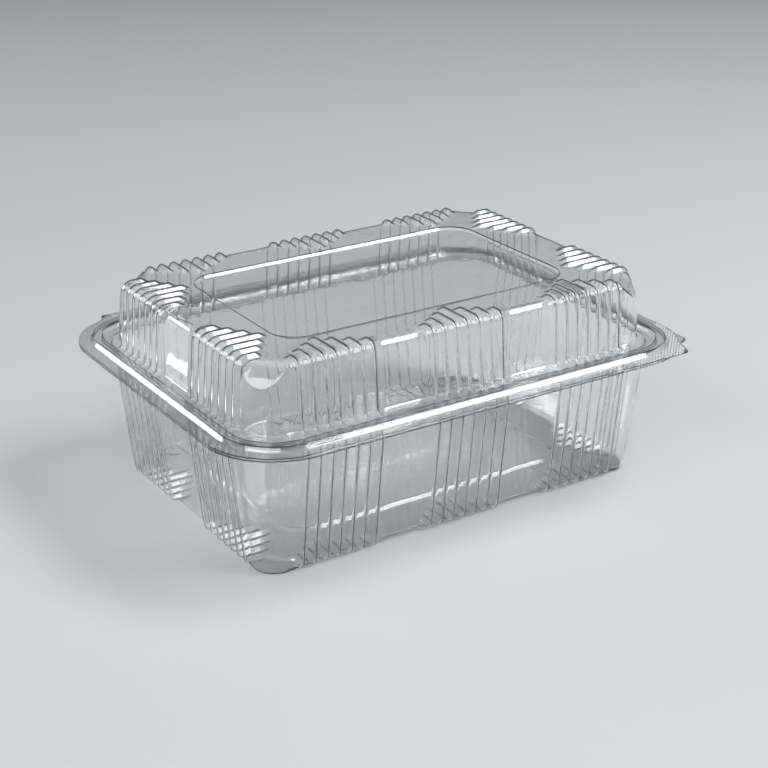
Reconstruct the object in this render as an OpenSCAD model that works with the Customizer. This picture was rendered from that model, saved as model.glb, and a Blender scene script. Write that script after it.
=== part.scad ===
// Clear hinged food container: a ribbed tub and a ribbed dome lid on a nesting rim.
// Millimetres, +Z up, +X along the long side, the hinge on the +Y side, corner tabs at +X -Y.

/* [Overall size] */
// Length of the rim along X
length = 185; // [178:1:230]
// Width of the rim along Y
width = 140.5; // [134:0.5:180]
// Height of the rim above the surface the tub stands on
rim_height = 49; // [34:1:70]
// Rise of the lid's flat top above the rim
lid_rise = 23.5; // [16:0.5:40]
// Thickness of the formed sheet
sheet = 0.5; // [0.4:0.05:0.7]

/* [Rim] */
// Corner radius of the rim's outer edge
rim_radius = 25; // [24:0.5:30]
// Width of the flat outer flange
flange = 4.5; // [3:0.25:5.5]
// Height of the locking bead
bead_height = 1.6; // [1:0.1:2.2]
// Width of the bead's flat crown
bead_crown = 2.4; // [1.6:0.1:3]
// Slope of the bead's sides in degrees
bead_slope = 58; // [50:1:62]
// Clearance between the lid's rim and the tub's rim
rim_gap = 0.35; // [0.3:0.05:0.5]

/* [Tub] */
// Distance from the rim's edge to the tub's mouth on the short sides
mouth_inset_x = 10.5; // [10.4:0.1:13]
// Distance from the rim's edge to the tub's mouth on the long sides
mouth_inset_y = 12.8; // [10.8:0.1:14]
// Corner radius of the tub at its mouth
mouth_radius = 13.5; // [12:0.5:16]
// Draft of the tub's walls in degrees
tub_draft = 6.5; // [3:0.5:8]
// Radius of the tub's bottom edge
tub_edge = 4; // [3:0.25:6]
// Height of the corner feet below the tub's floor
foot_height = 3; // [2.2:0.1:4]

/* [Lid dome] */
// Distance from the rim's edge to the dome on the short sides
dome_inset_x = 12.9; // [12:0.1:16]
// Distance from the rim's edge to the dome on the long sides
dome_inset_y = 16.5; // [14:0.1:19]
// Draft of the dome's walls in degrees
dome_draft = 4; // [2:0.5:7]
// Corner radius of the dome at its root
dome_radius = 11; // [10:0.5:13]
// Radius of the dome's shoulder
dome_edge = 3; // [2:0.25:4]
// Slope of the half-moon facets at the dome's corners in degrees
facet_slope = 60; // [50:1:68]

/* [Ribs] */
// Ribs in each group
rib_count = 7; // [5:2:7]
// Spacing of the ribs in a group
rib_pitch = 4.6; // [4:0.1:5]
// Width of a rib at its root
rib_width = 3.5; // [2.8:0.1:3.8]
// Width of a rib's crest
rib_crest = 1.5; // [1.2:0.1:1.8]
// Height of a rib above the wall
rib_height = 1.5; // [1.1:0.1:1.8]
// Length that each rib loses to its inner neighbour
rib_fall = 3; // [2:0.1:3.5]

/* [Panels] */
// Depth of the panel sunk into the lid's top
lid_panel_depth = 1.1; // [0.6:0.1:2]
// Rise of the panel in the tub's floor
floor_panel_rise = 1.2; // [0.6:0.1:2]
// Space between a panel and the longest ribs
panel_gap = 3.6; // [2.5:0.1:5]

/* [Hinge and tabs] */
// Reach of the hinge strip behind the rim
hinge_reach = 3; // [2:0.25:5]
// Distance of the hinge strip's ends from the rim's ends
hinge_end = 17.5; // [16:0.5:40]
// Distance of the lid's tab from the point where the rim's sides would meet
tab_back = 8.8; // [8:0.2:11]

/* [Hidden] */
$fn = 48;

clear_plastic = [0.86, 0.9, 0.92, 0.35];
rim_ax = length / 2 - rim_radius;
rim_ay = width / 2 - rim_radius;
dome_ax = length / 2 - dome_inset_x - dome_radius;
dome_ay = width / 2 - dome_inset_y - dome_radius;
tub_ax = length / 2 - mouth_inset_x - mouth_radius;
tub_ay = width / 2 - mouth_inset_y - mouth_radius;
floor_z = foot_height;
lid_low = rim_height + rim_gap;
lid_top = rim_height + lid_rise;
bead_run = bead_height / tan(bead_slope);
bead_shift = tan(bead_slope / 2);
panel_half = [length / 2 - 35.5, width / 2 - 36.5];
panel_radius = 9;
group_x = length * 0.27;
group_y = width * 0.19;
rib_side = (rib_width - rib_crest) / 2;
rib_shift = (norm([rib_side, rib_height]) - rib_side) / rib_height;
rib_slot = rib_pitch * 0.49;
rib_root = 2.5;
rib_reach = 120;
tip_run = rib_height * 0.6;
tip_shift = (norm([tip_run, rib_height]) - tip_run) / rib_height;
facet_diag = (length / 2 + width / 2) / sqrt(2) - 30.9;
foot_diag = (length / 2 + width / 2) / sqrt(2) - 35.2;
foot_inset = 0.6;
foot_edge = 1.5;
group_span = rib_count * rib_pitch;

function back_to_front(v) = [for (i = [len(v) - 1:-1:0]) v[i]];

// Points set to a thousandth of a millimetre, so that straight and revolved pieces meet exactly
function fine(v) = [for (p = v) [round(p[0] * 1000) / 1000, round(p[1] * 1000) / 1000]];

// Profile of the rim, raised by e from the upper face of the tub's rim, and running in to the axis
function rim_line(e) = [
    [rim_radius, rim_height + e],
    [rim_radius - flange + e * bead_shift, rim_height + e],
    [rim_radius - flange - bead_run + e * bead_shift, rim_height + bead_height + e],
    [rim_radius - flange - bead_run - bead_crown - e * bead_shift, rim_height + bead_height + e],
    [rim_radius - flange - 2 * bead_run - bead_crown - e * bead_shift, rim_height + e],
    [0, rim_height + e]
];

// Corner points of an edge rounded in two steps, between the normals from and to
function edge_points(centre, radius, from, to) = [
    for (j = [0.5:1:2.5])
        let (turn = (to - from) / 3, a = from + j * turn)
            centre + radius / cos(turn / 2) * [cos(a), sin(a)]
];

// Half profile of the tub, inset by e, from the floor up to the height top
function tub_wall(z) = mouth_radius - (rim_height - z) * tan(tub_draft);
function tub_centre(low, edge) = [tub_wall(low + edge) - edge / cos(tub_draft), low + edge];
function tub_line(e, low, edge, inset, top) = concat(
    edge_points(tub_centre(low, edge) - [inset, 0], edge - e, -90, -tub_draft),
    [[tub_wall(top) - inset - e / cos(tub_draft), top]]
);

// Half profile of the lid's dome, inset by e, from the height low up to the flat top
function dome_wall(z) = dome_radius - (z - rim_height) * tan(dome_draft);
function dome_centre(edge) = [dome_wall(lid_top - edge) - edge / cos(dome_draft), lid_top - edge];
function dome_line(e, low) = concat(
    [[dome_wall(low) - e / cos(dome_draft), low]],
    edge_points(dome_centre(dome_edge), dome_edge - e, dome_draft, 90)
);

// Half width of a rib at the height n above the wall, inset by e
function rib_half(n, e) = rib_width / 2 - e * rib_shift - (n + e) * rib_side / rib_height;

// Section of a rib group, inset by e: x along the wall, y out from it, solid behind the ribs
function rib_section(e, wide) =
    let (
        high = rib_height - e,
        root = -e - 0.2,
        low = -e - rib_root,
        half = (rib_count - 1) / 2,
        side = [[rib_half(high, e), high], [rib_half(root, e), root], [(rib_half(root, e) + rib_slot) / 2, low]]
    )
        concat(
            [
                for (k = [-half:half])
                    for (p = concat([for (q = back_to_front(side)) [-q[0], q[1]]], side))
                        [k * rib_pitch + p[0], p[1]]
            ],
            [[wide, low], [wide, -rib_reach], [-wide, -rib_reach], [-wide, low]]
        );

// Copies at the four corners of a rounded rectangle
module at_corners(ax, ay) {
    for (c = [[1, 1, 0], [-1, 1, 90], [-1, -1, 180], [1, -1, 270]])
        translate([c[0] * ax, c[1] * ay, 0])
            rotate([0, 0, c[2]])
                children();
}

// Solid with rounded vertical corners and the given half profile, lowest point first
module block(ax, ay, profile) {
    line = fine(profile);
    low = line[0][1];
    high = line[len(line) - 1][1];
    half = concat([[0, low]], line, [[0, high]]);
    right = [for (p = line) [ax + p[0], p[1]]];
    left = [for (p = back_to_front(line)) [-ax - p[0], p[1]]];
    rear = [for (p = line) [ay + p[0], p[1]]];
    front = [for (p = back_to_front(line)) [-ay - p[0], p[1]]];
    translate([0, ay, 0])
        rotate([90, 0, 0])
            linear_extrude(2 * ay)
                polygon(concat(right, left));
    translate([-ax, 0, 0])
        rotate([90, 0, 90])
            linear_extrude(2 * ax)
                polygon(concat(rear, front));
    at_corners(ax, ay)
        rotate_extrude(angle = 90)
            polygon(half);
}

// Rim sheet between the offsets e and e + sheet, closed across the mouth
module rim_sheet(e) {
    outline = fine(concat(rim_line(e + sheet), back_to_front(rim_line(e))));
    at_corners(rim_ax, rim_ay)
        rotate_extrude(angle = 90)
            polygon(outline);
    for (s = [0, 1]) {
        mirror([0, s, 0])
            translate([-rim_ax, rim_ay, 0])
                rotate([90, 0, 90])
                    linear_extrude(2 * rim_ax)
                        polygon(outline);
        mirror([s, 0, 0])
            translate([rim_ax, rim_ay, 0])
                rotate([90, 0, 0])
                    linear_extrude(2 * rim_ay)
                        polygon(outline);
    }
    translate([-rim_ax, -rim_ay, rim_height + e])
        cube([2 * rim_ax, 2 * rim_ay, sheet]);
}

// Space outside the four slanted corner planes that start at the height z
module corner_wedges(diag, z, e) {
    for (c = [[1, 1], [-1, 1], [-1, -1], [1, -1]])
        rotate([0, 0, atan2(c[1], c[0])])
            translate([diag, 0, z])
                rotate([0, facet_slope, 0])
                    translate([-12, -60, e])
                        cube([44, 120, 30]);
}

// Rib section drawn out along the surface that touches the rounded edge at the angle a
module rib_comb(centre, edge, a, e, wide) {
    translate([0, centre[0], centre[1]])
        rotate([a, 0, 0])
            translate([0, edge, -rib_reach])
                linear_extrude(2 * rib_reach)
                    polygon(rib_section(e, wide));
}

// Slab for each rib of a group: from its own sloping tip on the flat out to the wall's end
module rib_slabs(level, up, tip, stop, e) {
    half = (rib_count - 1) / 2;
    low = -e - rib_root - 0.5;
    high = rib_height + 1;
    for (k = [-half:half]) {
        end = tip + abs(k) * rib_fall + e * tip_shift;
        near = end + (low + e) * tip_run / rib_height;
        far = end + (high + e) * tip_run / rib_height;
        translate([k * rib_pitch - rib_slot, 0, 0])
            rotate([90, 0, 90])
                linear_extrude(2 * rib_slot)
                    polygon([[near, stop], [near, level + up * low], [far, level + up * high],
                             [rib_reach, level + up * high], [rib_reach, stop]]);
    }
}

// A rib group that runs along the wall, over the rounded edge and in over the flat:
// the combs along wall, edge and flat meet in mitres, and the slabs end the ribs in a V
module rib_group(centre, edge, wall, flat, tip, stop, e) {
    up = sign(flat);
    intersection() {
        rib_comb(centre, edge, wall, e, group_span);
        rib_comb(centre, edge + 0.15, (wall + flat) / 2, e, group_span + 1);
        rib_comb(centre, edge, flat, e, group_span + 2);
        rib_slabs(centre[1] + up * edge, up, tip, stop, e);
    }
}

// Three groups on each long side and two on each short side
module rib_groups(ax, ay, centre, edge, wall, flat, stop, e) {
    for (s = [0, 1]) {
        mirror([0, s, 0])
            for (x = [-group_x, 0, group_x])
                translate([x, ay, 0])
                    rib_group(centre, edge, wall, flat, panel_half[1] + panel_gap - ay, stop, e);
        mirror([s, 0, 0])
            for (y = [-group_y, group_y])
                translate([ax, y, 0])
                    rotate([0, 0, -90])
                        rib_group(centre, edge, wall, flat, panel_half[0] + panel_gap - ax, stop, e);
    }
}

// Shallow panel with sloping sides, cut into a flat at the height z
module panel(z, depth, up, e) {
    r = panel_radius + e * tan(22.5);
    floor = z - up * (depth + e);
    rim = z + up;
    line = [[r, floor], [r + depth + e + 1, rim]];
    block(panel_half[0] - panel_radius, panel_half[1] - panel_radius, up > 0 ? line : back_to_front(line));
}

// Flat strip behind the rim that carries the hinge fold
module hinge_strip(e) {
    translate([hinge_end - length / 2, width / 2 - 2, rim_height + e + 0.05])
        cube([length - 2 * hinge_end, hinge_reach + 2, sheet - 0.1]);
}

// Outline of a lift tab from the -Y edge of the rim into the corner, which lies at the origin
function tab_outline(back) = [
    [-rim_radius, 0.2],
    [-back - 2, 0.2],
    [-back, 1],
    [-back + 0.8, 2.8],
    [-back + 2.8, 9.4],
    [-rim_radius, rim_radius]
];

// Flat lift tab on the flange's corner, flipped over the corner's diagonal where asked
module tab(e, back, flip) {
    translate([length / 2, -width / 2, rim_height + e + 0.05])
        mirror(flip)
            linear_extrude(sheet - 0.1)
                difference() {
                    polygon(tab_outline(back));
                    translate([-rim_radius, rim_radius])
                        circle(r = rim_radius - flange / 2);
                }
}

// Outer form of the tub at inset 0, and its hollow at inset sheet
module tub_form(e, top) {
    difference() {
        union() {
            block(tub_ax, tub_ay, tub_line(e, floor_z, tub_edge, 0, top));
            intersection() {
                block(tub_ax, tub_ay, tub_line(e, 0, foot_edge, foot_inset, floor_z + 3));
                corner_wedges(foot_diag, floor_z, e);
            }
            rib_groups(tub_ax, tub_ay, tub_centre(floor_z, tub_edge), tub_edge, -tub_draft, -90, top - 0.05, e);
        }
        panel(floor_z, floor_panel_rise, -1, e);
    }
}

// Outer form of the dome at inset 0, and its hollow at inset sheet
module dome_form(e, low) {
    difference() {
        union() {
            difference() {
                block(dome_ax, dome_ay, dome_line(e, low));
                corner_wedges(facet_diag, lid_top, -e);
            }
            rib_groups(dome_ax, dome_ay, dome_centre(dome_edge), dome_edge, dome_draft, 90, low + 0.05, e);
        }
        panel(lid_top, lid_panel_depth, 1, e);
    }
}

module base() {
    color(clear_plastic)
        translate([0, -hinge_reach / 2, 0])
            difference() {
                union() {
                    rim_sheet(-sheet);
                    hinge_strip(-sheet);
                    tab(-sheet, tab_back + 2, [1, 1, 0]);
                    tub_form(0, rim_height - sheet / 2);
                }
                tub_form(sheet, rim_height + 1);
            }
}

module lid() {
    color(clear_plastic)
        translate([0, -hinge_reach / 2, 0])
            difference() {
                union() {
                    rim_sheet(rim_gap);
                    hinge_strip(rim_gap);
                    tab(rim_gap, tab_back, [0, 0, 0]);
                    dome_form(0, lid_low + sheet / 2);
                }
                dome_form(sheet, lid_low - 1);
            }
}

base();
lid();
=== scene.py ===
"""Clear hinged food container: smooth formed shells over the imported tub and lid, on a pale studio floor.

Sizes are in millimetres until a mesh is made. Each shell is a net of columns round the container
and rows from the rim's outer edge in to the flat, with the ribs raised on it.
"""

import math

import bmesh
import bpy
import numpy as np
from mathutils import Matrix, Vector


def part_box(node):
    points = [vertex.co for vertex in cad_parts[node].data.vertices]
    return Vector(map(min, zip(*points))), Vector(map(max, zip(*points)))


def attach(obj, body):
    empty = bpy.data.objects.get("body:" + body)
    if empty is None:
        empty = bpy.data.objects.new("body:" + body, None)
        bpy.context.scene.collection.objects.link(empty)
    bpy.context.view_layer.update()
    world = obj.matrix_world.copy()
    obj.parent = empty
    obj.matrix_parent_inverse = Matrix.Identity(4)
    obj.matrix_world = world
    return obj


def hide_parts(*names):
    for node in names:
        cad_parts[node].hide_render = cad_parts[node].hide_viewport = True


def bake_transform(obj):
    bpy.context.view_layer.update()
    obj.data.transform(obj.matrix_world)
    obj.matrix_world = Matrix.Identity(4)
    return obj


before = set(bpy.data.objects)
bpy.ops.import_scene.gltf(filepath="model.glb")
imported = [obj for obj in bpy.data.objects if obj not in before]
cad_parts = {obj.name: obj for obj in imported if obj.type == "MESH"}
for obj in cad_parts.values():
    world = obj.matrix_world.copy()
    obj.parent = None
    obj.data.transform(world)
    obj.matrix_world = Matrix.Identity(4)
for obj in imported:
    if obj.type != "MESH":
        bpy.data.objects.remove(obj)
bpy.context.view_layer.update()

MM = 0.001

# Driving sizes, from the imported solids
base_low, base_high = (np.array(v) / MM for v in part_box("base"))
lid_low, lid_high = (np.array(v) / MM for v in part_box("lid"))
HINGE_REACH = 3.0
BEAD_HEIGHT = 1.6
RIB_HEIGHT = 1.5
SHEET = 0.5
LENGTH = base_high[0] - base_low[0]
WIDTH = base_high[1] - base_low[1] - HINGE_REACH
DIAGONAL = (LENGTH + WIDTH) / 2 / math.sqrt(2)
RIM_Z = base_high[2] - BEAD_HEIGHT
TUB_RIM_Z = RIM_Z - SHEET
LID_RIM_Z = lid_low[2] + SHEET
LID_TOP = lid_high[2] - RIB_HEIGHT
SHIFT_Y = -HINGE_REACH / 2

# Rim: flange, locking bead and hinge strip
RIM_RADIUS = 25.0
FLANGE = 4.5
BEAD_CROWN = 2.4
BEAD_SLOPE = math.radians(58)
BEAD_RUN = BEAD_HEIGHT / math.tan(BEAD_SLOPE)
BEAD_FOOT = 0.6
BEAD_ROUND = 0.7
EDGE_INSET = 0.4
EDGE_SHARES = (1, 0.6, 0.2)
HINGE_END = 17.5
HINGE_TAPER = 1.5
FOLD_SHEET = 0.2
FOLD_BULGE = 0.45
FOLD_ROWS = 9
FOLD_PLACES = 25

# Lift tabs: how far back each starts, the points round its tip, where it leaves the rim, and the grip dots
LID_TAB_BACK = 8.8
TUB_TAB_BACK = LID_TAB_BACK + 2
TAB_FRONT = 0.2
TAB_TIP = ((-2, TAB_FRONT), (-0.6, 0.6), (0.2, 1.4), (0.8, 2.8), (2.8, 9.4))
TAB_LEAVE = (18, -16)
TAB_STEPS = 9
DOT_PITCH = 1.34
DOT_RADIUS = 0.42
DOT_HEIGHT = 0.25
DOT_MARGIN = 0.7
DOT_RANGE = (-7.0, 2.5)
DOT_SECTION = ((1, -0.3), (1, 0), (0.7, 0.7))
DOT_SIDES = 8

# Tub
MOUTH_INSET = (10.5, 12.8)
MOUTH_RADIUS = 13.5
TUB_DRAFT = math.radians(6.5)
TUB_SLOPE = math.tan(TUB_DRAFT)
TUB_ROOT = 2.2
TUB_ROOT_RUN = 2.0
TUB_ROOT_ROUND = 0.3
TUB_EDGE = 1.3
TUB_EDGE_GAP = 0.3
FLOOR_Z = 1.8
FLOOR_RIB = 0.9
FOOT_EDGE = 0.8
FOOT_SLOPE = math.tan(math.radians(60))
FOOT_DIAG = DIAGONAL - 36.0
FOOT_CREASE = 0.6
FOOT_BLEND = 0.5
SOLE_RISE = 1.0
SOLE_RUN = 5.0

# Dome
DOME_INSET = (12.9, 16.5)
DOME_RADIUS = 11.0
DOME_DRAFT = math.radians(4)
DOME_SLOPE = math.tan(DOME_DRAFT)
DOME_ROOT = 2.6
DOME_ROOT_ROUND = 1.1
DOME_EDGE = 3.0
DOME_EDGE_GAP = 0.4
FACET_DIAG = DIAGONAL - 32.7
FACET_RUN = 6.0
FACET_DROP = 7.0
FACET_BOW = 0.3
FACET_BLEND = 2.2
FACET_CREASE = 0.5
FACET_TOP_CREASE = 1.3
FACET_TOP = 0.5

# Ribs, and the panel inside them on either flat
RIBS = 7
RIB_PITCH = 4.6
RIB_ROOT = 1.95
RIB_BELL = 1.5
RIB_FALL = 3.0
RIB_TIP = (-0.4, 2.4)
RIB_REACH = RIBS // 2 * RIB_PITCH
RIB_SAMPLES = np.array([-0.44, -0.31, -0.16, 0, 0.16, 0.31, 0.44]) * RIB_PITCH
GROUPS_X = (-0.27 * LENGTH, 0.0, 0.27 * LENGTH)
GROUPS_Y = (-0.19 * WIDTH, 0.19 * WIDTH)
PANEL_HALF = (LENGTH / 2 - 35.5, WIDTH / 2 - 36.5)
PANEL_RADIUS = 9.0
PANEL_GAP = 3.6
PANEL_DEPTH = 1.1
PANEL_LIP = 1.6
PANEL_FOOT = 0.9
PANEL_ROUND = 0.9
PANEL_STEPS = 13

# Net of a shell
LONG, SHORT, CORNER = 0, 1, 2
CORNER_STEPS = 26
GAP_STEPS = 5
END_STEPS = 4
TUB_ROWS = 8
DOME_ROWS = 9
FLAT_ROWS = 16
FLAT_MARGIN = 2.4
FLAT_CORNER = 0.8
FLAT_ROOM = 0.9
ROUND_ROOM = 0.48

RIM_AXIS = (LENGTH / 2 - RIM_RADIUS, WIDTH / 2 - RIM_RADIUS)
TUB_AXIS = (LENGTH / 2 - MOUTH_INSET[0] - MOUTH_RADIUS, WIDTH / 2 - MOUTH_INSET[1] - MOUTH_RADIUS)
DOME_AXIS = (LENGTH / 2 - DOME_INSET[0] - DOME_RADIUS, WIDTH / 2 - DOME_INSET[1] - DOME_RADIUS)

# Plastic: roughness and transmission of the clear sheet and of the frosted dots, and the waves in the sheet
PLASTIC_COLOUR = (0.985, 0.992, 0.995, 1)
PLASTIC_IOR = 1.57
CLEAR = (0.03, 1.0)
FROSTED = (0.35, 0.5)
WAVE_SCALE = 75
WAVE_DETAIL = 2.5
WAVE_STRENGTH = 0.35
WAVE_HEIGHT = 0.4

# Studio, in metres: floor and backdrop, then each light's place, height aimed at, size, power and roll
FLOOR_COLOUR = (0.57, 0.58, 0.6, 1)
FLOOR_ROUGHNESS = 0.6
FLOOR_HALF = 5.0
FLOOR_FRONT = -3.0
FLOOR_BACK = 2.0
BACKDROP_BEND = 1.0
BACKDROP_TOP = 4.0
WORLD_COLOUR = (0.55, 0.56, 0.58, 1)
WORLD_STRENGTH = 0.32
LIGHTS = {
    "overhead": ((0.0, 0.1, 1.5), 0.05, (1.2, 1.2), 3.5, 0),
    "key_strip": ((0.62, -0.42, 0.95), 0.06, (0.45, 1.0), 12, -47),
    "left_strip": ((-0.72, 0.98, 0.42), 0.06, (0.4, 0.35), 3, 0),
    "corner": ((-0.8, -0.52, 0.72), 0.06, (1.1, 0.5), 6, 0),
}

# The photograph's view: turned and raised about the middle of the lid's top, and moved aside in its own plane
VIEW_AZIMUTH = 33.03
VIEW_ELEVATION = 23.16
VIEW_ROLL = 0.02
VIEW_DISTANCE = 590.3
VIEW_LENS = 79.15
VIEW_OFFSET = (1.91, -37.49)


def smooth(low, high, x):
    """0 below low, 1 above high, and a smooth rise between."""
    t = np.clip((x - low) / (high - low), 0, 1)
    return t * t * (3 - 2 * t)


def soft_min(a, b, blend):
    """The lower of a and b, with the crease between them rounded over blend."""
    t = np.clip(0.5 + 0.5 * (b - a) / blend, 0, 1)
    return b * (1 - t) + a * t - blend * t * (1 - t)


def rounded(points, radius, steps=4):
    """A polyline with every inner corner rounded, as far as its neighbours leave room."""
    pts = [np.array(p, float) for p in points]
    out = [pts[0]]
    for before, corner, after in zip(pts, pts[1:], pts[2:]):
        a, b = before - corner, after - corner
        la, lb = np.linalg.norm(a), np.linalg.norm(b)
        turn = math.pi - math.acos(np.clip(a @ b / (la * lb), -1, 1))
        reach = min(radius * math.tan(turn / 2), ROUND_ROOM * la, ROUND_ROOM * lb)
        start, end = corner + a / la * reach, corner + b / lb * reach
        for i in range(steps + 1):
            t = i / steps
            out.append((1 - t) ** 2 * start + 2 * t * (1 - t) * corner + t * t * end)
    out.append(pts[-1])
    return out


def arc(centre, radius, start, end, steps):
    """Points on an arc between two angles in degrees."""
    angles = np.radians(np.linspace(start, end, steps + 1))
    return [np.array([centre[0] + radius * math.cos(a), centre[1] + radius * math.sin(a)]) for a in angles]


def ring_faces(bm, first, second, flip):
    """Faces between two closed rings of points; a negative flip turns them over."""
    for i in range(len(first)):
        j = (i + 1) % len(first)
        quad = (first[i], first[j], second[j], second[i])
        bm.faces.new(quad if flip > 0 else quad[::-1]).smooth = True


def mesh_object(name, bm):
    """The object that holds a finished mesh."""
    mesh = bpy.data.meshes.new(name)
    bm.to_mesh(mesh)
    bm.free()
    obj = bpy.data.objects.new(name, mesh)
    bpy.context.collection.objects.link(obj)
    return obj


def thicken(obj, thickness):
    """Give a surface the sheet's thickness, on the side away from its normals."""
    sheet = obj.modifiers.new("sheet", "SOLIDIFY")
    sheet.thickness = thickness * MM
    sheet.offset = -1
    return obj


class Columns:
    """The columns of a shell: where each stands on its side or corner, and which rib it belongs to."""

    def __init__(self, half):
        self.half = half
        parts = []
        for side in range(4):
            kind = LONG if side % 2 == 0 else SHORT
            places = self.places(half[kind], (GROUPS_X, GROUPS_Y)[kind])
            sign = (-1, 1, 1, -1)[side]
            if side >= 2:
                places = [(-p, o, k) for p, o, k in places]
            facing = (0, sign) if kind == LONG else (sign, 0)
            parts += [(kind, *facing, p, o, k) for p, o, k in places]
            corner = ((1, -1), (1, 1), (-1, 1), (-1, -1))[side]
            steps = CORNER_STEPS * (2 if side == 0 else 1)
            for i in range(1, steps + 1):
                t = i / (steps + 1)
                parts.append((CORNER, *corner, t if kind == LONG else 1 - t, np.inf, 0))
        kind, sx, sy, at, offset, index = (np.array(v, float) for v in zip(*parts))
        self.kind, self.sx, self.sy, self.at = kind, sx, sy, at
        self.corner = kind == CORNER
        self.tab = self.corner & (sx > 0) & (sy < 0)
        self.rib = (1 - np.clip(np.abs(offset) / RIB_ROOT, 0, 1) ** 2) ** RIB_BELL
        self.rib_fall = np.abs(index) * RIB_FALL
        self.count = len(kind)

    @staticmethod
    def places(half, groups):
        """(place along the side, distance from the rib's middle, rib number) from end to end."""
        start = -half
        out = [(start, np.inf, 0)]
        ribs = range(-(RIBS // 2), RIBS // 2 + 1)
        reach = RIB_REACH + RIB_SAMPLES[-1]
        for g in groups:
            gap = g - reach - start
            out += [(start + gap * i / GAP_STEPS, np.inf, 0) for i in range(1, GAP_STEPS)]
            out += [(g + k * RIB_PITCH + s, s, k) for k in ribs for s in RIB_SAMPLES]
            start = g + reach
        out += [(start + (half - start) * i / END_STEPS, np.inf, 0) for i in range(1, END_STEPS + 1)]
        return out

    def loop(self, axis, r):
        """Plan places and outward directions on the rounded rectangle of radius r about the corner axis."""
        ax, ay = axis
        r = np.broadcast_to(np.asarray(r, float), self.count)
        bend = np.maximum(r, 1e-6)
        first, last = max(ax - self.half[0], 0), max(ay - self.half[1], 0)
        start = np.arcsin(np.clip((self.half[0] - ax) / bend, 0, 1))
        end = math.pi / 2 - np.arcsin(np.clip((self.half[1] - ay) / bend, 0, 1))
        arc_run = bend * (end - start)
        d = self.at * (first + arc_run + last)
        turn = start + np.clip((d - first) / bend, 0, end - start)
        cx = np.where(d < first, self.half[0] + d, ax + bend * np.sin(turn))
        cy = np.where(d > first + arc_run, ay - (d - first - arc_run), ay + bend * np.cos(turn))
        long_side = self.kind == LONG
        over = np.maximum(np.abs(self.at) - np.where(long_side, ax, ay), 0) * ~self.corner
        drop = bend - np.sqrt(np.maximum(bend**2 - over**2, 0))
        aside, ahead = np.sign(self.at) * over / bend, 1 - drop / bend
        x = self.per_side(self.at, self.sx * (ax + r - drop), self.sx * cx)
        y = self.per_side(self.sy * (ay + r - drop), self.at, self.sy * cy)
        nx = self.per_side(aside, self.sx * ahead, self.sx * np.sin(turn))
        ny = self.per_side(self.sy * ahead, aside, self.sy * np.cos(turn))
        return np.stack([x, y], 1), np.stack([nx, ny], 1)

    def per_side(self, long_value, short_value, corner_value):
        """One value for each column, by the side that it stands on."""
        return np.select([self.kind == LONG, self.kind == SHORT], [long_value, short_value], corner_value)

    def flat_inner(self, axis):
        """Inner radius of each column on the flat: near the panel along the sides, none at the corners."""
        depth = self.per_side(*(axis[i] - PANEL_HALF[i] - FLAT_MARGIN for i in (1, 0)), 0)
        room = np.where(self.kind == LONG, *self.half) - np.abs(self.at)
        return np.where(self.corner, FLAT_CORNER, np.maximum(-depth, FLAT_CORNER - FLAT_ROOM * room))


def rim_edge(cols, tab_back, flipped):
    """Radius of the sheet's outer edge: the flange, the hinge strip behind it and the lift tab."""
    plan, out = cols.loop(RIM_AXIS, RIM_RADIUS)
    edge = np.full(cols.count, RIM_RADIUS)
    rear = (plan[:, 1] > RIM_AXIS[1]) & (np.abs(plan[:, 0]) < LENGTH / 2)
    strip = smooth(0, -HINGE_TAPER, np.abs(plan[:, 0]) - (LENGTH / 2 - HINGE_END))
    edge += np.where(rear, HINGE_REACH * strip, 0)
    outline = np.array([
        (-RIM_RADIUS, TAB_FRONT), *((x - tab_back, y) for x, y in TAB_TIP),
        (TAB_LEAVE[0] - RIM_RADIUS, TAB_LEAVE[1] + RIM_RADIUS),
    ]) + (RIM_RADIUS, -RIM_RADIUS)
    if flipped:
        outline = -outline[:, ::-1]
    steps = np.linspace(0, 1, TAB_STEPS)[:-1, None]
    outline = np.concatenate([a + (b - a) * steps for a, b in zip(outline, outline[1:])])
    angle = np.degrees(np.arctan2(outline[:, 1], outline[:, 0]))
    order = np.argsort(angle)
    bearing = np.degrees(np.arctan2(out[:, 1], out[:, 0]))
    reach = np.interp(bearing, angle[order], np.linalg.norm(outline, axis=1)[order], left=0, right=0)
    return np.where(cols.tab, np.maximum(edge, reach), edge)


def rim_rows(z, level):
    """Profile of the flange and bead on one face of the sheet, from the edge in to the bead's inner foot."""
    lift = level * math.tan(BEAD_SLOPE / 2)
    a = RIM_RADIUS - FLANGE + lift
    b = a - BEAD_RUN
    c = RIM_RADIUS - FLANGE - BEAD_RUN - BEAD_CROWN - lift
    d = c - BEAD_RUN
    crown = z + BEAD_HEIGHT
    return rounded([(RIM_RADIUS, z), (a, z), (b, crown), (c, crown), (d, z), (d - BEAD_FOOT, z)], BEAD_ROUND)


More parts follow.
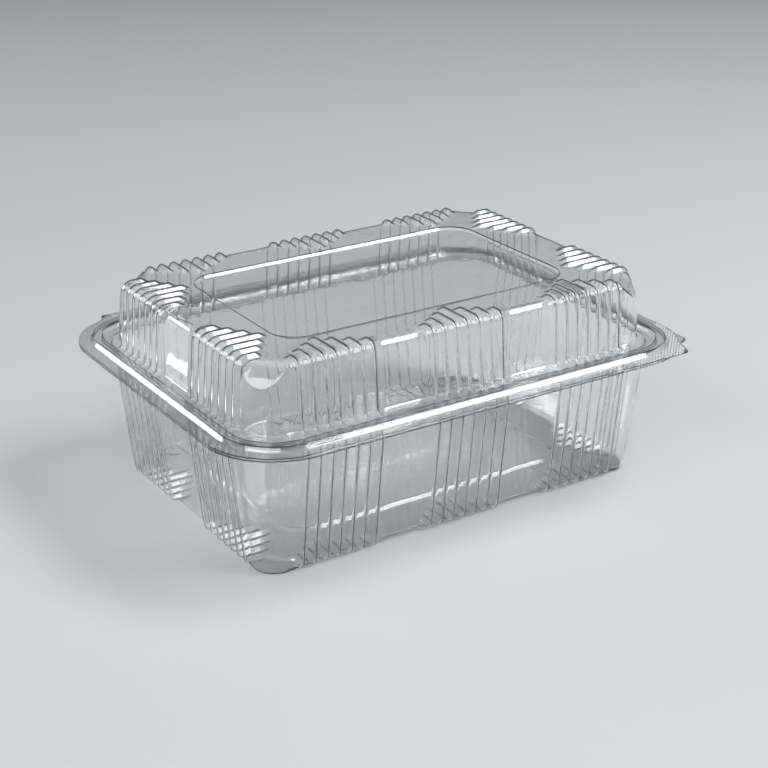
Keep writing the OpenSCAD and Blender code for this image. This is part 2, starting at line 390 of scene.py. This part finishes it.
class Shell:
    """Rows of points over the columns, then faces between them; flip is 1 for the lid and -1 for the tub."""

    def __init__(self, cols, flip):
        self.cols = cols
        self.flip = flip
        self.rows = []

    def add(self, axis, r, z, lean=(0, 0), weight=0):
        """One row at radius r and height z; lean is the way in which the ribs rise there."""
        plan, out = self.cols.loop(axis, r)
        rise = self.cols.rib * weight * RIB_HEIGHT
        xy = plan + out * (rise * lean[0])[:, None]
        self.rows.append(np.column_stack([xy, np.broadcast_to(z, self.cols.count) + rise * lean[1]]))

    def edge(self, edge, z):
        """Rows from the tab's, strip's or flange's outer edge in to the flange."""
        for share in EDGE_SHARES:
            self.add(RIM_AXIS, RIM_RADIUS - EDGE_INSET + (edge - RIM_RADIUS + EDGE_INSET) * share, z)

    def profile(self, axis, line, ribbed=0, lean=None):
        """Rows along a profile; ribs rise by their share ribbed along its normal, or along lean."""
        share = np.broadcast_to(ribbed, len(line))
        for i, p in enumerate(line):
            d = line[min(i + 1, len(line) - 1)] - line[max(i - 1, 0)]
            normal = np.array([d[1], -d[0]]) / np.linalg.norm(d) * self.flip
            self.add(axis, p[0], p[1], lean if lean is not None else normal, share[i])

    def flat(self, axis, start, z, ribbed=1):
        """Rows over the flat, from the radius start in to each column's inner radius, with the rib tips."""
        inner = self.cols.flat_inner(axis)
        tip = self.cols.per_side(PANEL_HALF[1] - axis[1], PANEL_HALF[0] - axis[0], 0)
        tip = tip + PANEL_GAP + self.cols.rib_fall
        for i in range(1, FLAT_ROWS + 1):
            r = start + (inner - start) * i / FLAT_ROWS
            self.add(axis, r, z, (0, self.flip), smooth(tip + RIB_TIP[0], tip + RIB_TIP[1], r) * ribbed)

    def even_out(self, first, weight):
        """Spread the rows from first on evenly along each column, by the column's weight."""
        grid = np.array(self.rows[first:])
        steps = np.linspace(0, 1, len(grid))
        for i in np.flatnonzero(weight):
            run = np.concatenate([[0], np.cumsum(np.linalg.norm(np.diff(grid[:, i], axis=0), axis=1))])
            spread = run + (steps * run[-1] - run) * weight[i]
            grid[:, i] = np.column_stack([np.interp(spread, run, grid[:, i, k]) for k in range(3)])
        self.rows[first:] = list(grid)

    def panel_rings(self, bm, z):
        """Rings of points down the panel's side, from its outer lip in to its floor."""
        side = rounded(
            [(PANEL_LIP, 0), (PANEL_DEPTH, 0), (0, -PANEL_DEPTH), (-PANEL_FOOT, -PANEL_DEPTH)], PANEL_ROUND
        )
        rings = []
        for q, drop in side:
            ring = []
            for sx, sy, first in ((1, -1, 270), (1, 1, 0), (-1, 1, 90), (-1, -1, 180)):
                for a in np.radians(np.linspace(first, first + 90, PANEL_STEPS)):
                    x = sx * (PANEL_HALF[0] - PANEL_RADIUS) + (PANEL_RADIUS + q) * math.cos(a)
                    y = sy * (PANEL_HALF[1] - PANEL_RADIUS) + (PANEL_RADIUS + q) * math.sin(a)
                    ring.append(bm.verts.new(Vector((x, y + SHIFT_Y, z + self.flip * drop)) * MM))
            rings.append(ring)
        return rings

    def build(self, name, z):
        """The mesh object: the net of rows, the flat between net and panel, and the panel."""
        grid = np.array(self.rows)
        grid[:, :, 1] += SHIFT_Y
        bm = bmesh.new()
        verts = [[bm.verts.new(Vector(p) * MM) for p in row] for row in grid]
        for upper, lower in zip(verts, verts[1:]):
            ring_faces(bm, upper, lower, self.flip)
        rings = self.panel_rings(bm, z)
        for outer, inner in zip(rings, rings[1:]):
            ring_faces(bm, outer, inner, self.flip)
        bm.faces.new(rings[-1] if self.flip > 0 else rings[-1][::-1])
        border = [
            bm.edges.get(pair) for ring in (verts[-1], rings[0]) for pair in zip(ring, ring[1:] + ring[:1])
        ]
        filled = bmesh.ops.triangle_fill(bm, edges=border, use_beauty=True, normal=(0, 0, self.flip))
        for f in filled["geom"]:
            if isinstance(f, bmesh.types.BMFace) and f.normal.z * self.flip < 0:
                f.normal_flip()
        for f in bm.faces:
            f.smooth = True
        return thicken(mesh_object(name, bm), SHEET)


def make_lid(cols, rim):
    """The lid's shell: rim, dome, shoulder and top, with a facet cut off each corner."""
    shell = Shell(cols, 1)
    z = LID_RIM_Z
    shell.edge(rim, z)
    shell.profile(RIM_AXIS, rim_rows(z, z - RIM_Z)[1:])
    shell.add(DOME_AXIS, DOME_RADIUS + DOME_ROOT, z)
    wall = lambda h: DOME_RADIUS - (h - RIM_Z) * DOME_SLOPE
    start = z + DOME_ROOT
    root = rounded([(DOME_RADIUS + DOME_ROOT, z), (wall(z), z), (wall(start), start)], DOME_ROOT_ROUND)
    shell.profile(DOME_AXIS, root[1:-1], 1, (math.cos(DOME_DRAFT), math.sin(DOME_DRAFT)))
    shoulder = LID_TOP - DOME_EDGE
    centre = (wall(shoulder) - DOME_EDGE / math.cos(DOME_DRAFT), shoulder)
    heights = np.linspace(start, shoulder - DOME_EDGE_GAP, DOME_ROWS)
    line = [np.array([wall(h), h]) for h in heights]
    line += arc(centre, DOME_EDGE, math.degrees(DOME_DRAFT), 90, DOME_ROWS)
    first = len(shell.rows)
    shell.profile(DOME_AXIS, line, 1)
    shell.flat(DOME_AXIS, centre[0], LID_TOP)
    ends = np.array([max(GROUPS_X), max(GROUPS_Y)]) + RIB_REACH + RIB_ROOT
    near_corner = lambda row: smooth(0, FACET_BLEND, (np.abs(row[:, :2]) - ends).min(1))
    for row in shell.rows[first:]:
        t = (np.abs(row[:, :2]).sum(1) / math.sqrt(2) - FACET_DIAG) / FACET_RUN
        plane = LID_TOP - FACET_DROP * (t - FACET_BOW * t * (1 - t) * (t > 0))
        crease = FACET_CREASE + FACET_TOP_CREASE * smooth(FACET_TOP, 0, t)
        row[:, 2] += (soft_min(row[:, 2], plane, crease) - row[:, 2]) * near_corner(row)
    shell.even_out(first, near_corner(shell.rows[first]))
    return shell.build("lid_shell", LID_TOP)


def make_tub(cols, rim):
    """The tub's shell: rim, wall, bottom edge and floor, with a foot at each corner."""
    shell = Shell(cols, -1)
    z = TUB_RIM_Z
    shell.edge(rim, z)
    shell.profile(RIM_AXIS, rim_rows(z, -SHEET)[1:-1])
    wall = lambda h: MOUTH_RADIUS - (RIM_Z - h) * TUB_SLOPE
    start = z - TUB_ROOT
    root = rounded([(wall(z) + TUB_ROOT_RUN, z), (wall(z), z), (wall(start), start)], TUB_ROOT_ROUND)
    shell.profile(TUB_AXIS, root[1:-1], 1, (math.cos(TUB_DRAFT), -math.sin(TUB_DRAFT)))
    bottom = FLOOR_Z + TUB_EDGE
    centre = (wall(bottom) - TUB_EDGE / math.cos(TUB_DRAFT), bottom)
    heights = np.linspace(start, bottom + TUB_EDGE_GAP, TUB_ROWS)
    line = [np.array([wall(h), h]) for h in heights]
    edge = arc(centre, TUB_EDGE, -math.degrees(TUB_DRAFT), -90, TUB_ROWS)
    first = len(shell.rows)
    shell.profile(TUB_AXIS, line + edge, [1] * len(line) + list(np.linspace(1, FLOOR_RIB, len(edge))))
    shell.flat(TUB_AXIS, centre[0], FLOOR_Z, FLOOR_RIB)
    foot_r = wall(FOOT_EDGE) - FOOT_EDGE
    toe = sum(TUB_AXIS) / math.sqrt(2) + foot_r
    for row in shell.rows[first:]:
        plan = np.abs(row[:, :2])
        diag = plan.sum(1) / math.sqrt(2)
        beyond = plan - TUB_AXIS
        r = np.hypot(*np.maximum(beyond, 0).T) + np.minimum(beyond.max(1), 0)
        over = np.clip(r - foot_r, 0, FOOT_EDGE)
        foot_rim = FOOT_EDGE - np.sqrt(np.maximum(FOOT_EDGE**2 - over**2, 0))
        foot_rim += np.maximum(r - foot_r - FOOT_EDGE, 0) / TUB_SLOPE
        slope = FLOOR_Z - (diag - FOOT_DIAG) * FOOT_SLOPE
        foot = -soft_min(-foot_rim, -slope, FOOT_CREASE)
        sole = SOLE_RISE * np.clip((toe - diag) / SOLE_RUN, 0, 1)
        row[:, 2] = np.maximum(soft_min(row[:, 2], foot, FOOT_BLEND), np.minimum(sole, row[:, 2]))
    return shell.build("tub_shell", FLOOR_Z)


def make_hinge():
    """The film fold that joins the two hinge strips behind the rim."""
    half = LENGTH / 2 - HINGE_END - HINGE_TAPER
    y = WIDTH / 2 + HINGE_REACH + SHIFT_Y
    low, high = RIM_Z - SHEET / 2, LID_RIM_Z - SHEET / 2
    mid, radius = (low + high) / 2, (high - low) / 2
    bm = bmesh.new()
    rows = []
    for a in np.radians(np.linspace(-90, 90, FOLD_ROWS)):
        place = (y + radius * FOLD_BULGE * math.cos(a), mid + radius * math.sin(a))
        rows.append([bm.verts.new(Vector((x, *place)) * MM) for x in np.linspace(-half, half, FOLD_PLACES)])
    for lower, upper in zip(rows, rows[1:]):
        for i in range(FOLD_PLACES - 1):
            bm.faces.new((lower[i], lower[i + 1], upper[i + 1], upper[i])).smooth = True
    obj = thicken(mesh_object("hinge_fold", bm), FOLD_SHEET)
    return obj, Vector((0, y, low)) * MM, Vector((0, y, high)) * MM


def tab_dots(name, cols, edge, z, up):
    """Raised grip dots on a lift tab and the flange beside it, in rows along the sides."""
    out = cols.loop(RIM_AXIS, RIM_RADIUS)[1]
    bearing = np.arctan2(out[cols.tab, 1], out[cols.tab, 0])
    order = np.argsort(bearing)
    count = math.ceil(2 * RIM_RADIUS / DOT_PITCH)
    steps = np.arange(-count, count + 1) * DOT_PITCH
    x, y = (v.ravel() for v in np.meshgrid(steps, steps))
    r = np.hypot(np.maximum(x, 0), np.minimum(y, 0))
    limit = np.interp(np.arctan2(y, x), bearing[order], edge[cols.tab][order]) - DOT_MARGIN
    keep = (r > RIM_RADIUS - FLANGE + DOT_MARGIN) & (r < limit) & (x > DOT_RANGE[0]) & (y < DOT_RANGE[1])
    angles = np.radians(np.linspace(0, 360, DOT_SIDES, endpoint=False))
    bm = bmesh.new()
    for px, py in zip(x[keep], y[keep]):
        cx, cy = RIM_AXIS[0] + px, -RIM_AXIS[1] + py + SHIFT_Y
        rings = []
        for share, height in DOT_SECTION:
            radius, level = DOT_RADIUS * share, z + up * DOT_HEIGHT * height
            rings.append([
                bm.verts.new(Vector((cx + radius * math.cos(a), cy + radius * math.sin(a), level)) * MM)
                for a in angles
            ])
        top = bm.verts.new(Vector((cx, cy, z + up * DOT_HEIGHT)) * MM)
        bm.faces.new(rings[0])
        for lower, upper in zip(rings, rings[1:]):
            ring_faces(bm, lower, upper, up)
        for i in range(DOT_SIDES):
            bm.faces.new((rings[-1][i], rings[-1][i - 1], top)).smooth = True
    bmesh.ops.recalc_face_normals(bm, faces=bm.faces)
    return mesh_object(name, bm)


def clear_plastic(name, roughness, transmission):
    """Glossy or frosted clear plastic, with the slow waves that forming leaves in the sheet."""
    mat = bpy.data.materials.new(name)
    mat.use_nodes = True
    nodes, links = mat.node_tree.nodes, mat.node_tree.links
    shader = nodes["Principled BSDF"]
    shader.inputs["Base Color"].default_value = PLASTIC_COLOUR
    shader.inputs["Roughness"].default_value = roughness
    shader.inputs["IOR"].default_value = PLASTIC_IOR
    shader.inputs["Transmission Weight"].default_value = transmission
    waves = nodes.new("ShaderNodeTexNoise")
    waves.inputs["Scale"].default_value = WAVE_SCALE
    waves.inputs["Detail"].default_value = WAVE_DETAIL
    links.new(nodes.new("ShaderNodeTexCoord").outputs["Object"], waves.inputs["Vector"])
    wavy = nodes.new("ShaderNodeBump")
    wavy.inputs["Strength"].default_value = WAVE_STRENGTH
    wavy.inputs["Distance"].default_value = WAVE_HEIGHT * MM
    links.new(waves.outputs["Fac"], wavy.inputs["Height"])
    links.new(wavy.outputs["Normal"], shader.inputs["Normal"])
    return mat


def make_floor():
    """Pale floor that curves up into a backdrop far behind."""
    bend = [
        (FLOOR_BACK + BACKDROP_BEND * math.sin(a), BACKDROP_BEND * (1 - math.cos(a)))
        for a in np.radians(np.arange(10, 91, 10))
    ]
    top = (FLOOR_BACK + BACKDROP_BEND, BACKDROP_TOP)
    line = [(FLOOR_FRONT, 0.0), (FLOOR_BACK, 0.0), *bend, top]
    turn = Matrix.Rotation(math.radians(-VIEW_AZIMUTH), 4, "Z")
    bm = bmesh.new()
    rows = [[bm.verts.new(turn @ Vector((x, y, z))) for x in (-FLOOR_HALF, FLOOR_HALF)] for y, z in line]
    for a, b in zip(rows, rows[1:]):
        bm.faces.new((a[0], a[1], b[1], b[0])).smooth = True
    floor = mesh_object("floor", bm)
    mat = bpy.data.materials.new("pale_floor")
    mat.use_nodes = True
    shader = mat.node_tree.nodes["Principled BSDF"]
    shader.inputs["Base Color"].default_value = FLOOR_COLOUR
    shader.inputs["Roughness"].default_value = FLOOR_ROUGHNESS
    floor.data.materials.append(mat)


def make_lights():
    """Soft boxes round the container, and a dim even sky."""
    for name, (place, height, size, power, roll) in LIGHTS.items():
        data = bpy.data.lights.new(name, "AREA")
        data.shape = "RECTANGLE"
        data.size, data.size_y = size
        data.energy = power
        lamp = bpy.data.objects.new(name, data)
        lamp.location = place
        aim = (Vector((0, 0, height)) - Vector(place)).to_track_quat("-Z", "Y").to_matrix()
        lamp.rotation_euler = (aim @ Matrix.Rotation(math.radians(roll), 3, "Z")).to_euler()
        bpy.context.collection.objects.link(lamp)
    world = bpy.data.worlds.new("studio")
    world.use_nodes = True
    sky = world.node_tree.nodes["Background"]
    sky.inputs["Color"].default_value = WORLD_COLOUR
    sky.inputs["Strength"].default_value = WORLD_STRENGTH
    bpy.context.scene.world = world


def make_camera():
    """The photograph's camera."""
    a, e = math.radians(-VIEW_AZIMUTH), math.radians(VIEW_ELEVATION)
    back = Vector((math.sin(a) * math.cos(e), -math.cos(a) * math.cos(e), math.sin(e)))
    right = Vector((math.cos(a), math.sin(a), 0))
    facing = Matrix((right, back.cross(right), back)).transposed().to_4x4()
    turn = facing @ Matrix.Rotation(math.radians(VIEW_ROLL), 4, "Z")
    place = Vector((0, SHIFT_Y, LID_TOP)) + turn @ Vector((*VIEW_OFFSET, VIEW_DISTANCE))
    data = bpy.data.cameras.new("camera")
    data.lens = VIEW_LENS
    camera = bpy.data.objects.new("camera", data)
    camera.matrix_world = Matrix.Translation(place * MM) @ turn
    bpy.context.collection.objects.link(camera)
    bpy.context.scene.camera = camera


bpy.context.scene.view_settings.view_transform = "Standard"
make_camera()
make_floor()
make_lights()

tub_cols, lid_cols = Columns(TUB_AXIS), Columns(DOME_AXIS)
tub_rim = rim_edge(tub_cols, TUB_TAB_BACK, True)
lid_rim = rim_edge(lid_cols, LID_TAB_BACK, False)
tub = make_tub(tub_cols, tub_rim)
lid = make_lid(lid_cols, lid_rim)
hinge, fold_start, fold_end = make_hinge()
tub_dots = tab_dots("tub_tab_dots", tub_cols, tub_rim, TUB_RIM_Z, -1)
lid_dots = tab_dots("lid_tab_dots", lid_cols, lid_rim, LID_RIM_Z, 1)

plastic = clear_plastic("clear_plastic", *CLEAR)
frosted = clear_plastic("frosted_plastic", *FROSTED)
for piece in (tub, lid, hinge):
    piece.data.materials.append(plastic)
for piece in (tub_dots, lid_dots):
    piece.data.materials.append(frosted)
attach(tub_dots, "base")
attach(lid_dots, "lid")
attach(tub, "base")
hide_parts("base")
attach(lid, "lid")
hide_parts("lid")
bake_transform(hinge)

# The clear lid lets the light through to the tub and floor
lid.visible_shadow = False
lid.visible_diffuse = False
